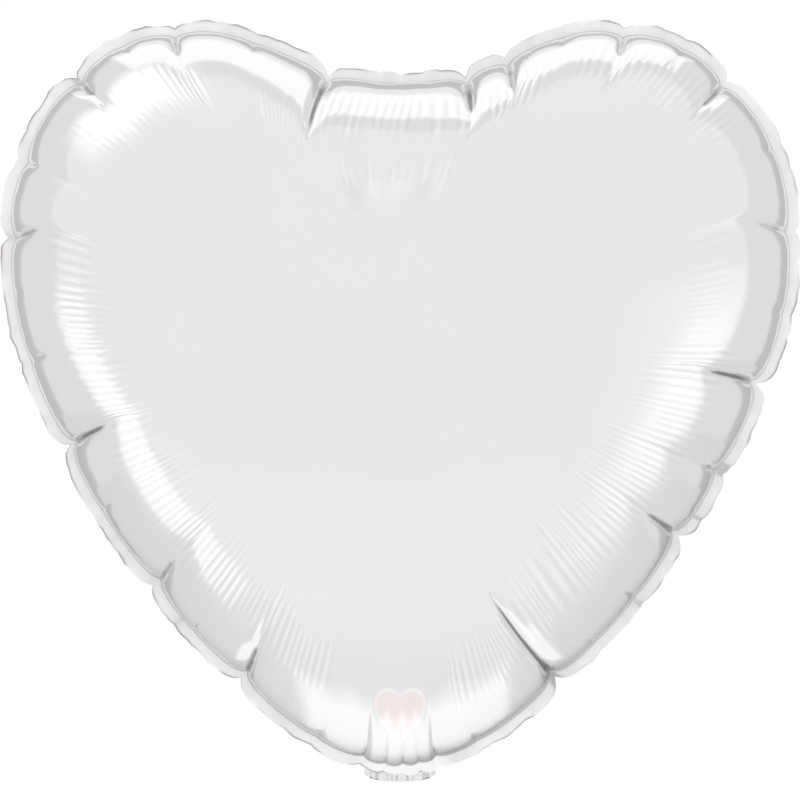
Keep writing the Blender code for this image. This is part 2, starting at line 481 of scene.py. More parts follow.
def leaned(heart, turn, inset, creases):
    """Turns that run sideways with inset, so that each crease follows one column of the grid.

    Round a crease the grid shifts by its run times inset over reach, faded by a bell wider than the run.
    """
    place = (turn * heart.length)[:, None]
    shift = np.zeros_like(inset)
    for centre, run, reach, _ in creases:
        width = max(0.008, 1.3 * abs(run) * MM)
        bell = np.exp(-((around(place, centre * MM, heart.length) / width) ** 2))
        shift += run * MM * np.clip(inset / (reach * MM), 0, 1.2) * bell
    return turn[:, None] + shift / heart.length


def rounded_noise(place, pitch, length, seed):
    """Smooth random values from -1 to 1 round the closed seam, one new value every pitch or so."""
    count = max(4, round(length / pitch))
    values = np.random.default_rng(seed).uniform(-1, 1, count)
    at = (place / length * count) % count
    low = np.floor(at).astype(int) % count
    part = smooth(at - np.floor(at))
    return values[low] * (1 - part) + values[(low + 1) % count] * part


def pillow_profile(place, length):
    """0 on each deep crease and 1 half way to the next: 1 minus the distance from the middle, squared."""
    starts = np.sort(FRONT_CREASES[FRONT_CREASES[:, 3] >= 0.45, 0]) * MM
    after = np.searchsorted(starts, place % length) % len(starts)
    low, high = starts[after - 1], starts[after]
    span = (high - low) % length
    part = ((place - low) % length) / span
    return (1 - np.abs(2 * part - 1) ** 2.5) * np.clip(span / 0.045, 0.3, 1.3)


def seam_pull(place, length):
    """How far the seam is drawn in at each place, as a share of the full pull: a cusp on each crease.

    Seven tenths of a pull lie within 2 mm of its crease, and the rest within 7 mm.
    """
    pull = np.zeros_like(place)
    for centre, _, _, strength in FRONT_CREASES:
        off = np.abs(around(place, centre * MM, length))
        cusp = 0.7 * np.exp(-((off / 0.0020) ** 1.2)) + 0.3 * np.exp(-((off / 0.007) ** 2))
        pull += strength**2 * cusp
    return pull


def outward_in_plane(heart, turn):
    """Unit normals of the smooth seam, in its plane and pointing out."""
    step = 1e-4
    column = turn[:, None]
    ahead = heart.plane(column + step, np.ones(1)) - heart.plane(column - step, np.ones(1))
    return 1j * ahead / np.abs(ahead)


def moved_seam(heart, sizes, turn):
    """The gathered seam: the smooth one drawn in at creases and let out between them."""
    place = turn * heart.length
    out = sizes.pillow * pillow_profile(place, heart.length) - sizes.notch * seam_pull(place, heart.length)
    return out[:, None] * outward_in_plane(heart, turn)


def neck_share(plane):
    """1 over the middle of the neck, 0 away from it: the seal is open there for the valve."""
    near = smooth((NECK_HALF_WIDTH + NECK_SIDE_FADE - np.abs(plane.real)) / NECK_SIDE_FADE)
    return near * smooth((NECK_TOP - plane.imag) / NECK_TOP_FADE)


def fold_fade(inset, reach):
    """How much of a crease is left at an inset: all of it for most of its reach, then a quick end."""
    return smooth((1 - inset / (reach * MM)) / 0.4) * inset / (inset + 0.0012)


VALLEY_SHARP, VALLEY_SOFT, VALLEY_CORE = 0.00095, 0.0048, 0.00060  # half widths of a crease's parts
SHARP_SHARE = 0.6


def fold_valleys(place, inset, creases, length):
    """Deep creases, as a depth and as a share of shadow in their cores: a sharp valley in a soft one."""
    depth = np.zeros_like(inset)
    shadow = np.zeros_like(inset)
    for centre, _, reach, strength in creases:
        off = around(place, centre * MM, length)
        fade = fold_fade(inset, reach)
        sharp = np.exp(-((np.abs(off) / VALLEY_SHARP) ** 1.2))
        soft = np.exp(-((off / VALLEY_SOFT) ** 2))
        depth += strength * fade * (SHARP_SHARE * sharp + (1 - SHARP_SHARE) * soft)
        shadow += strength**2 * fade * np.exp(-((off / VALLEY_CORE) ** 2))
    return depth, np.clip(shadow, 0, 1)


COMB_LOWEST = 0.70  # the lowest ridge beside the highest
COMB_START_SPREAD, COMB_END_SPREAD = 0.003, 0.006  # how far the ends of the ridges differ
COMB_PATCH_FADE = 0.008


def comb_wrinkles(place, inset, sizes, length, seed):
    """Fine ridges across the rim, a cosine along the seam in patches.

    Returns the height, and a painted highlight and shade for each place: 1, a highlight, on a ridge, and -1,
    shade, between two.
    Returns the height, and how light each place looks: 1 on a ridge, -1 between two.
    """
    count = round(length / sizes.comb_pitch)
    rng = np.random.default_rng(seed)
    phase = place / length * count + 0.30 * rounded_noise(place, 0.013, length, seed + 1)
    which = np.round(phase).astype(int) % count
    ridge = 0.5 + 0.5 * np.cos(2 * np.pi * (phase - np.round(phase)))
    height = rng.uniform(COMB_LOWEST, 1.0, count)[which]
    late = rng.uniform(-COMB_START_SPREAD, COMB_START_SPREAD, count)[which]
    soon = rng.uniform(-COMB_END_SPREAD, COMB_END_SPREAD, count)[which]
    total = np.zeros_like(inset)
    for first, last, start, end, strength in COMB_PATCHES:
        half = (last - first) / 2 * MM
        off = np.abs(around(place, (first + last) / 2 * MM, length))
        patch = smooth((half + COMB_PATCH_FADE / 2 - off) / COMB_PATCH_FADE)
        low, high = start * MM + late, end * MM + soon
        middle = 1 - ((inset - (low + high) / 2) / ((high - low) / 2)) ** 2
        total = np.maximum(total, strength * patch * np.sqrt(np.clip(middle, 0, 1)))
    return height * ridge * total, (2 * ridge - 1) * np.minimum(height * total, 1)


RIPPLE_REACH = 0.0025  # inset at which the short gathers are highest
RIPPLE_HEIGHT = 0.00014


def rim_ripples(place, inset, length, seed):
    """Short gathers right at the seam: waves times t exp(1 - t), where t is inset over their reach."""
    wave = rounded_noise(place, 0.0050, length, seed) + 0.5 * rounded_noise(place, 0.0024, length, seed + 1)
    part = inset / RIPPLE_REACH
    return RIPPLE_HEIGHT * wave * part * np.exp(1 - part)


def surface_normals(points, side):
    """Unit normals of a closed grid, from the cross product of its row and column steps."""
    across = np.roll(points, -1, axis=0) - np.roll(points, 1, axis=0)
    inwards = np.gradient(points, axis=1)
    normal = np.cross(across, inwards)
    normal /= np.linalg.norm(normal, axis=2, keepdims=True) + 1e-12
    return normal * np.where(normal[:, :, 1:2] * side < 0, -1, 1)


def in_space(plane, off):
    """Complex points of the seam's plane and distances along Y, as an array of x, y, z."""
    return np.stack([plane.real, off, plane.imag], axis=-1)


SEAM_MOVE_REACH = 0.016  # inset over which the gathered seam's own move fades
PILLOW_REACH = 0.010  # inset at which the pillows are highest


def panel_surface(heart, sizes, turn, share, side, creases, seed):
    """A gathered panel on the grid of turn by share, with each point's inset and shadow.

    The smooth panel stands off the plane by the membrane's height. The gathered seam's own move fades
    inwards, and along the normal come the pillows, less the fold valleys, plus the comb and the ripples.
    """
    plane = heart.plane(turn[:, None], share)
    for _ in range(2):
        inset = np.abs(plane - plane[:, :1])
        plane = heart.plane(leaned(heart, turn, inset, creases), share)
    inset = np.abs(plane - plane[:, :1])
    neck = neck_share(plane)
    off = heart.stand_off(plane, share) + FILM_GAP + NECK_SEAM_GAP * neck * share[None, :] ** 8
    base = in_space(plane, side * off)
    normal = surface_normals(base, side)
    place = np.broadcast_to((turn * heart.length)[:, None], inset.shape)
    move = moved_seam(heart, sizes, turn) * np.exp(-((inset / SEAM_MOVE_REACH) ** 1.5))
    depth, shadow = fold_valleys(place, inset, creases, heart.length)
    part = inset / PILLOW_REACH
    lift = sizes.pillow * pillow_profile(place, heart.length) * part * np.exp(1 - part)
    lift -= sizes.fold * depth * (1 - 0.85 * neck)
    # light is the comb's painted highlight on its ridges and painted shade between them.
    comb, light = comb_wrinkles(place, inset, sizes, heart.length, seed)
    lift += sizes.comb_height * comb
    lift += rim_ripples(place, inset, heart.length, seed + 10)
    low = smooth((0.22 - plane.imag) / 0.14)
    ragged = 0.75 + 0.35 * rounded_noise(place, 0.018, heart.length, 41)
    low *= 0.6 + 0.45 * smooth(plane.real / 0.06 + 0.5)
    rim = 0.75 * ragged * np.exp(-((inset / 0.0007) ** 2)) + low * np.exp(-((inset / 0.0045) ** 2))
    shadow = np.clip(shadow + rim, 0, 1)
    return base + in_space(move, np.zeros_like(off)) + lift[:, :, None] * normal, inset, shadow, light


def margin_surface(heart, shape, sizes, turn, across, side):
    """The heat-sealed margin on the grid of turn by across, 1 at the cut edge and 0 at the seam.

    It runs out from the gathered seam by its width and leaves the plane more and more as a wave. The two
    panels' margins lie against each other and share the wave, and stand apart only at the neck.
    """
    place = (turn * heart.length)[:, None]
    out = outward_in_plane(heart, turn)
    seam = heart.plane(turn[:, None], np.ones(1))
    tip = smooth((0.030 - np.abs(seam.real)) / 0.012) * smooth((0.050 - seam.imag) / 0.03)
    pull = seam_pull(place, heart.length)
    width = shape.margin * (1 - 0.30 * pull + 0.10 * rounded_noise(place, 0.006, heart.length, 3))
    wave = (
        0.0009 * rounded_noise(place, 0.0055, heart.length, 4)
        + 0.0008 * rounded_noise(place, 0.019, heart.length, 5)
        + 0.0004 * rounded_noise(place, 0.0026, heart.length, 6)
    ) * (1 + 0.5 * tip)
    neck = neck_share(seam)
    gap = NECK_EDGE_GAP + (NECK_SEAM_GAP - NECK_EDGE_GAP) * (1 - across)
    apart = FILM_GAP * (across < 0.999) + neck * gap
    plane = seam + moved_seam(heart, sizes, turn) + out * (width * across - 0.5 * np.abs(wave) * across**2)
    off = wave * across**1.4 * (1 - 0.9 * neck) + side * apart
    ragged = smooth(0.45 + 0.9 * rounded_noise(place, 0.0075, heart.length, 8))
    shadow = 0.85 * ragged * smooth((across - 0.80) / 0.12) + 0.55 * smooth((0.16 - across) / 0.16)
    return in_space(plane, off), -across * width, shadow, np.zeros_like(shadow)


# ---------------------------------------------------------------- meshes


def mesh_object(name, points, faces, material):
    """A smooth mesh object with its place in its mesh."""
    mesh = bpy.data.meshes.new(name)
    mesh.from_pydata(points.tolist(), [], faces)
    mesh.polygons.foreach_set("use_smooth", np.ones(len(mesh.polygons), bool))
    mesh.materials.append(material)
    mesh.update()
    piece = bpy.data.objects.new(name, mesh)
    bpy.context.collection.objects.link(piece)
    return piece


def set_uv(piece, uv):
    """A UV map from one pair of numbers for each vertex; faces over the join count on past 1."""
    mesh = piece.data
    corner = np.empty(len(mesh.loops), np.int32)
    mesh.loops.foreach_get("vertex_index", corner)
    starts = np.empty(len(mesh.polygons), np.int32)
    mesh.polygons.foreach_get("loop_start", starts)
    sizes = np.diff(np.append(starts, len(corner)))
    at = uv[corner]
    furthest = np.repeat(np.maximum.reduceat(at[:, 0], starts), sizes)
    at[:, 0] += furthest - at[:, 0] > 0.5
    layer = mesh.uv_layers.new(name="rim")
    layer.data.foreach_set("uv", at.ravel().astype(np.float32))


def ring_faces(steps, columns):
    """Faces between rows of a closed grid whose column step doubles now and then, as vertex indices.

    Between rows of one step they are quads, and where the step doubles they are five-sided.
    """
    counts = columns // np.array(steps)
    starts = np.concatenate([[0], np.cumsum(counts)])
    faces = []
    for row in range(len(steps) - 1):
        fine, coarse = counts[row], counts[row + 1]
        inner = np.arange(coarse)
        after = (inner + 1) % coarse
        if fine == coarse:
            block = np.stack([inner, after], 1) + starts[row]
            block = np.concatenate([block, np.stack([after, inner], 1) + starts[row + 1]], 1)
        else:
            block = np.stack([2 * inner, 2 * inner + 1, 2 * after], 1) + starts[row]
            block = np.concatenate([block, np.stack([after, inner], 1) + starts[row + 1]], 1)
        faces += block.tolist()
    return faces, starts


def strip_faces(rows, columns, closed):
    """Quads of a grid with rows of this many columns, joined round if closed."""
    column = np.arange(columns if closed else columns - 1)
    after = (column + 1) % columns
    row = (np.arange(rows - 1) * columns)[:, None]
    corners = [row + column, row + after, row + columns + after, row + columns + column]
    return np.stack([c.ravel() for c in corners], 1).tolist()


def set_mark(piece, name, values):
    """A number for each vertex, which the foil's finish reads by name."""
    layer = piece.data.attributes.new(name, "FLOAT", "POINT")
    layer.data.foreach_set("value", values.astype(np.float32))


def turn_outwards(piece, way):
    """Turns the faces of a film to look this way on average."""
    mesh = piece.data
    normals = np.empty(3 * len(mesh.polygons))
    areas = np.empty(len(mesh.polygons))
    mesh.polygons.foreach_get("normal", normals)
    mesh.polygons.foreach_get("area", areas)
    if (normals.reshape(-1, 3) @ np.array(way) * areas).sum() < 0:
        mesh.flip_normals()


# ---------------------------------------------------------------- finishes


RIM_STREAKS = 760.0, 20.0, 1.0  # streaks round the seam and along the inset
STREAK_HEIGHT, GRAIN_HEIGHT = 0.00003, 0.0000025
# The sealed margin is lighter in its own colour; the comb's ridges get a painted highlight and its valleys
# painted shade.
SEAL_LIGHT, RIDGE_HIGHLIGHT, VALLEY_SHADE = 1.19, 1.13, 0.90  # lightness beside the plain foil's


def pearl_foil(name, finish, mark=None):
    """Pearl white foil: a pale base under a metallic sheen, with painted shade in the cores of the folds and
    along the seam, and a painted highlight and shade on the comb wrinkles.
    """
    n = Nodes(name)
    uv = n.add("ShaderNodeUVMap", {"uv_map": "rim"})
    inset = n.parts(uv)[1]
    fold = n.add("ShaderNodeAttribute", {"attribute_name": "fold_shadow"}, output="Fac")
    comb = n.add("ShaderNodeAttribute", {"attribute_name": "comb_highlight_and_shade"}, output="Fac")
    sealed = 1 - n.ramp(inset, -0.0010, 0.0002)
    rim = 1 - n.ramp(inset, 0.010, 0.030)
    along = n.add("ShaderNodeVectorMath", {"operation": "MULTIPLY"}, (uv, RIM_STREAKS))
    streaks = n.add(
        "ShaderNodeTexNoise", {"noise_dimensions": "2D"}, {"Vector": along, "Scale": 1.0, "Detail": 2.0}
    )
    place = n.add("ShaderNodeTexCoord", output="Object")
    grain = n.add("ShaderNodeTexNoise", {}, {"Vector": place, "Scale": 1400.0, "Detail": 2.0})
    cloud = n.add("ShaderNodeTexNoise", {}, {"Vector": place, "Scale": 11.0, "Detail": 2.0})

    def pearl(lightness):
        return (*(min(1.0, lightness * c) for c in finish.pearl), 1)

    colour = n.mix(n.ramp(cloud, 0.3, 0.7), pearl(1), pearl(0.988))
    colour = n.mix(sealed * 0.8, colour, pearl(SEAL_LIGHT))
    if mark:
        colour = mark(n, place, colour)
    # Painted highlight on the comb's ridges and painted shade in its valleys, then painted shade in the cores
    # of the folds and along the seam.
    colour = n.mix(n.ramp(comb, 0.0, 1.0) * 0.85, colour, pearl(RIDGE_HIGHLIGHT))
    colour = n.mix(n.ramp(comb * -1.0, 0.0, 1.0) * 0.95, colour, pearl(VALLEY_SHADE))
    colour = n.mix(fold * 0.85, colour, (*finish.fold, 1))
    height = streaks * rim * STREAK_HEIGHT + grain * GRAIN_HEIGHT
    bump = n.add("ShaderNodeBump", {}, {"Strength": 1.0, "Distance": 1.0, "Height": height})
    n.set(
        Base_Color=colour,
        Metallic=finish.metal * (1 - 0.5 * sealed),
        Roughness=finish.gloss + 0.04 * grain + 0.10 * fold,
        Normal=bump,
        Coat_Weight=0.6,
        Coat_Roughness=0.03,
    )
    return n.material


def clear_film(name, finish):
    """Milky clear valve film: see-through in part, with a faint haze."""
    n = Nodes(name)
    place = n.add("ShaderNodeTexCoord", output="Object")
    haze = n.add("ShaderNodeTexNoise", {}, {"Vector": place, "Scale": 120.0, "Detail": 3.0})
    n.set(
        Base_Color=(*finish.film, 1),
        Roughness=0.28 + 0.2 * haze,
        Alpha=0.45 + 0.2 * haze,
    )
    return n.material


PRINT_HEIGHT = 0.0300
PRINT_SHEAR = 0.0068
PRINT_RADIUS, HALO_RADIUS = 0.0108, 0.0120
PRINT_EDGE = 0.0004
PRINT_COLOUR, HALO_COLOUR = (0.92, 0.80, 0.82, 1), (0.95, 0.95, 0.96, 1)


def heart_print(n, place, colour):
    """A small plain heart printed faintly low on the front, with a white outline.

    The heart is a circle sheared by the square root of the distance from the middle line.
    """
    x, y, z = n.parts(place)
    side = x.math("ABSOLUTE")
    lean = z - PRINT_HEIGHT - (side * PRINT_SHEAR) ** 0.5
    out = (side * side + lean * lean) ** 0.5
    front = 1 - n.ramp(y, -0.004, -0.002)
    halo = (1 - n.ramp(out, HALO_RADIUS, HALO_RADIUS + PRINT_EDGE)) * front
    fill = (1 - n.ramp(out, PRINT_RADIUS, PRINT_RADIUS + PRINT_EDGE)) * front
    colour = n.mix(halo * 0.8, colour, HALO_COLOUR)
    return n.mix(fill * 0.75, colour, PRINT_COLOUR)


# ---------------------------------------------------------------- operators


class BALLOON_OT_panels(bpy.types.Operator):
    """Builds the front and rear foil panels with their halves of the seal margin"""

    bl_idname = "balloon.panels"
    bl_label = "Foil panels"

    MARGIN_ROWS = 1.0, 0.92, 0.84, 0.68, 0.5, 0.32, 0.16, 0.06
    # first and last angle from the seam (degrees), rows, and how many columns each row skips on by
    ZONES = (0, 42, 37, 1), (44, 60, 9, 2), (63, 78, 6, 4), (81, 87, 3, 8)

    def execute(self, context):
        """The margin, a fine grid in the gathered rim, and coarser ones towards the crown."""
        settings = context.scene
        heart = Heart(settings.balloon_shape)
        across = np.array(self.MARGIN_ROWS)
        angles = np.concatenate([np.linspace(*zone[:3]) for zone in self.ZONES])
        steps = [1] * len(across)
        for _, _, count, step in self.ZONES:
            steps += [step] * count
        share = np.cos(np.radians(angles))
        turn = seam_turns(heart, settings.balloon_shape.columns)
        for name, node, side, creases, seed, mark in (
            ("front_foil", "front_panel", -1, FRONT_CREASES, 11, heart_print),
            ("rear_foil", "rear_panel", 1, rear_creases(), 31, None),
        ):
            sizes = settings.balloon_gathers
            inner = panel_surface(heart, sizes, turn, share, side, creases, seed)
            outer = margin_surface(heart, settings.balloon_shape, sizes, turn, across, side)
            points, *marks = (np.concatenate(pair, axis=1) for pair in zip(outer, inner))
            foil = pearl_foil(name, settings.balloon_finish, mark)
            piece = self.build(name, points, marks, turn, steps, heart, side, foil)
            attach(piece, "envelope")
            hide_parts(node)
            "foil_front" if side < 0 else "foil_rear"
        return {"FINISHED"}

    def build(self, name, points, marks, turn, steps, heart, side, material):
        """The mesh of one panel: rings of fewer and fewer columns, and a fan at the crown."""
        rings = [points[::step, row] for row, step in enumerate(steps)]
        # shadow is painted shade, and light is the comb's painted highlight and shade.
        inset, shadow, light = (
            np.concatenate([mark[::step, row] for row, step in enumerate(steps)]) for mark in marks
        )
        around_us = np.concatenate([turn[::step] for step in steps])
        faces, starts = ring_faces(steps, len(turn))
        last = starts[-1] - starts[-2]
        ring = np.arange(last) + starts[-2]
        faces += np.stack([ring, np.roll(ring, -1), np.full(last, starts[-1])], 1).tolist()
        crown = rings[-1].mean(axis=0)
        crown[1] = side * heart.shape.crown
        rings.append(crown[None])
        piece = mesh_object(name, np.concatenate(rings), faces, material)
        set_uv(piece, np.stack([np.append(around_us, 0.5), np.append(inset, inset.max())], 1))
        set_mark(piece, "fold_shadow", np.append(shadow, 0))
        set_mark(piece, "comb_highlight_and_shade", np.append(light, 0))
        turn_outwards(piece, (0, side, 0))
        return piece


class BALLOON_OT_tail(bpy.types.Operator):
    """Builds the filling tail, folded up behind the tip: two foil plies and the valve films in it"""

    bl_idname = "balloon.tail"
    bl_label = "Filling tail"

    HOLE_AT = 0.040
    HOLE_RADIUS = 0.005
    START = 0.0004  # from the crease's axis to the first row of a ply
    PLY_GAPS = 0.00012, 0.00050  # from the tail's plane to a ply, at its start and 5 mm on
    FILM_OFF = 0.00016  # from the tail's plane to a valve film
    WALL, WALL_FLARE = 0.00092, 0.00055  # half thickness of the pleated end, and what it gains at its top
    WALL_HEIGHT = 0.0034
    BOTTOM_DEPTH = 0.00095

    def execute(self, context):
        """The pleated end of the neck, the two plies, and the two lengths of valve film between them."""
        low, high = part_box("tail_front_ply")
        half, top, back = high[0], high[2], high[1]
        lean, length = math.atan2(back, top), math.hypot(top, back)
        foil = pearl_foil("tail_foil", context.scene.balloon_finish)
        film = clear_film("tail_film", context.scene.balloon_finish)
        pocket = self.pocket(half, foil)
        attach(pocket, "envelope")
        for which, side in (("front", 1), ("rear", -1)):
            piece = self.ply(f"tail_{which}_foil", half, length, lean, side, foil)
            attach(piece, "tail")
            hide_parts(f"tail_{which}_ply")
            node = f"valve_{which}_tail"
            piece = self.film(f"tail_{which}_film", node, half, length, lean, side, film)
            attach(piece, "tail")
            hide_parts(node)
        return {"FINISHED"}

    def waves(self, across, run, half, length):
        """How far the tail's plane is bent: crumples and a curl.

        The crumples are three waves across the width, strongest near the crease. The curl rises with the
        square of the length.
        """
        crumple = (
            0.00075 * np.sin(across / half * 13.0 + 1.1 + 40 * run)
            + 0.00045 * np.sin(across / half * 24.0 + 0.4 - 60 * run)
            + 0.00030 * np.sin(across / half * 39.0 + 2.0)
        ) * (np.exp(-np.maximum(run, 0) / 0.016) * 0.9 + 0.12)
        curl = 0.0030 * smooth(run / length) ** 2 + 0.0004 * np.sin(run * 190) * smooth(run / 0.02)
        return crumple, crumple * smooth((run - 0.0015) / 0.007) + curl

    def on_tail(self, past, off, lean):
        """Points at these distances up the leaning tail and off its plane."""
        up = np.array([0, math.sin(lean), math.cos(lean)])
        out = np.array([0, math.cos(lean), -math.sin(lean)])
        return past[..., None] * up + off[..., None] * out

    def ply(self, name, half, length, lean, side, foil):
        """A crumpled sheet from the crease to the tail's cut end, bent by the waves.

        The sheet starts later at its corners, by the fourth power of the place across. The side edges of
        both plies run together, as they are sealed.
        """
        reach = np.concatenate([np.linspace(self.START, 0.0060, 24), np.linspace(0.0070, length, 52)])
        width = np.linspace(-1, 1, 81)
        reach, width = np.meshgrid(reach, width, indexing="ij")
        past, across = self.holed(reach, width * half, half)
        share = np.abs(across / half)
        crumple, bend = self.waves(across, past, half, length)
        first, last = self.PLY_GAPS
        gap = (first + (last - first) * smooth((past - 0.001) / 0.004)) * (1 - share**6)
        corner = 0.0018 * share**4 * np.exp(-past / 0.010)
        points = self.on_tail(past + corner, side * gap + bend, lean)
        points[..., 0] = across * self.pinch(past)
        rows, columns = past.shape
        faces = np.array(strip_faces(rows, columns, False))
        if side > 0:
            away = np.maximum(np.abs(reach - self.HOLE_AT), np.abs(width * half)).ravel()
            faces = faces[(away[faces] > self.HOLE_RADIUS * 0.79).any(axis=1)]
        piece = mesh_object(name, points.reshape(-1, 3), faces.tolist(), foil)
        set_uv(piece, np.stack([0.5 + across.ravel() / 1.16, 0.012 + 0.3 * past.ravel()], 1))
        edge = smooth((share - 0.90) / 0.06)
        valley = 0.45 * smooth(-crumple / 0.0006) + 0.2 * (1 - smooth(past / 0.004))
        if side > 0:
            rim = np.hypot(across, past - self.HOLE_AT) / self.HOLE_RADIUS
            valley = valley + 0.7 * (1 - smooth((rim - 1.0) / 0.15))
        set_mark(piece, "fold_shadow", np.clip(0.35 * edge + valley, 0, 1).ravel())
        turn_outwards(piece, (0, side * math.cos(lean), -side * math.sin(lean)))
        return piece

    def pocket(self, half, foil):
        """The gathered end of the neck: a pleated trough between the margins, from which the tail leaves.

        Its cross-section goes down the front, round the bottom as half an ellipse and up the back. The
        pleats are waves along it. Its walls close in by the fifth power of the place along and its bottom
        lifts by the third, so that it ends in two closed corners.
        """
        wall = np.linspace(1, 0, 13)[:-1]
        bend = np.linspace(0, np.pi, 19)
        side = np.concatenate([-np.ones_like(wall), -np.cos(bend), np.ones_like(wall)])
        height = np.concatenate([wall, -np.sin(bend), wall[::-1]])
        along, side = np.meshgrid(np.linspace(-1, 1, 161), side, indexing="ij")
        height = np.broadcast_to(height, along.shape)
        pleats = 0.5 * np.sin(13 * along + 1.1) + 0.4 * np.sin(24 * along + 0.4)
        pleats += 0.4 * np.sin(43 * along + 2.0)
        open_by = 1 - np.abs(along) ** 5
        thick = (self.WALL + 0.00010 * pleats + self.WALL_FLARE * np.maximum(height, 0)) * open_by + 0.00002
        middle = 0.00085 + 0.0034 * np.abs(along) ** 3
        top = self.WALL_HEIGHT - 0.0007 * along**2
        up = np.where(height > 0, top, self.BOTTOM_DEPTH + 0.00026 * pleats)
        points = np.stack([half * along, side * thick, middle + height * up], -1)
        rows, columns = along.shape
        piece = mesh_object("tail_crease", points.reshape(-1, 3), strip_faces(rows, columns, False), foil)
        set_uv(piece, np.stack([0.5 + along.ravel() * half / 1.16, np.full(along.size, 0.012)], 1))
        valley = 0.5 * smooth(-pleats / 0.8) + 0.25 * smooth(-height)
        set_mark(piece, "fold_shadow", valley.ravel())
        turn_outwards(piece, (0, 0, -1))
        return piece

    def pinch(self, past):
        """The share of its width that the tail keeps: less at the crease."""
        return 0.86 + 0.14 * smooth((past - 0.001) / 0.013)

    def film(self, name, node, half, length, lean, side, film):
        """A strip of valve film that lies between the plies and is bent by the same waves."""
        low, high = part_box(node)
        first, last = math.hypot(low[1], low[2]), math.hypot(high[1], high[2])
        past, across = np.meshgrid(
            np.linspace(first + 0.0004, last, 61), np.linspace(low[0], high[0], 57), indexing="ij"
        )
        bend = self.waves(across / self.pinch(past), past, half, length)[1]
        points = self.on_tail(past, side * self.FILM_OFF + bend, lean)
        points[..., 0] = across
        piece = mesh_object(name, points.reshape(-1, 3), strip_faces(61, 57, False), film)
        turn_outwards(piece, (0, side * math.cos(lean), -side * math.sin(lean)))
        return piece

    def holed(self, run, across, half):
        """Draws the grid apart round the filling hole.

        Round the hole's middle the rings of equal square distance become circles, fully at the hole's rim
        and not at all at twice its radius.
        """
        x, z = across, run - self.HOLE_AT
        square = np.maximum(np.maximum(np.abs(x), np.abs(z)), 1e-9)
        inside = 0.8 * self.HOLE_RADIUS
        share = 1 - smooth((square - inside) / self.HOLE_RADIUS)
        rounded = square / np.hypot(x, z).clip(1e-9) * self.HOLE_RADIUS / inside
        scale = 1 + share * (rounded - 1)
        return self.HOLE_AT + z * scale, x * scale


class BALLOON_OT_valve(bpy.types.Operator):
    """Dresses the valve films"""

    bl_idname = "balloon.valve"
    bl_label = "Valve films"

    def execute(self, context):
        """Gives the two lengths of valve film in the gas space the clear film finish."""
        film = clear_film("valve_film", context.scene.balloon_finish)
        for node in ("valve_front_film", "valve_rear_film"):
            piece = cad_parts[node]
            for slot in piece.material_slots:
                slot.material = film
        return {"FINISHED"}


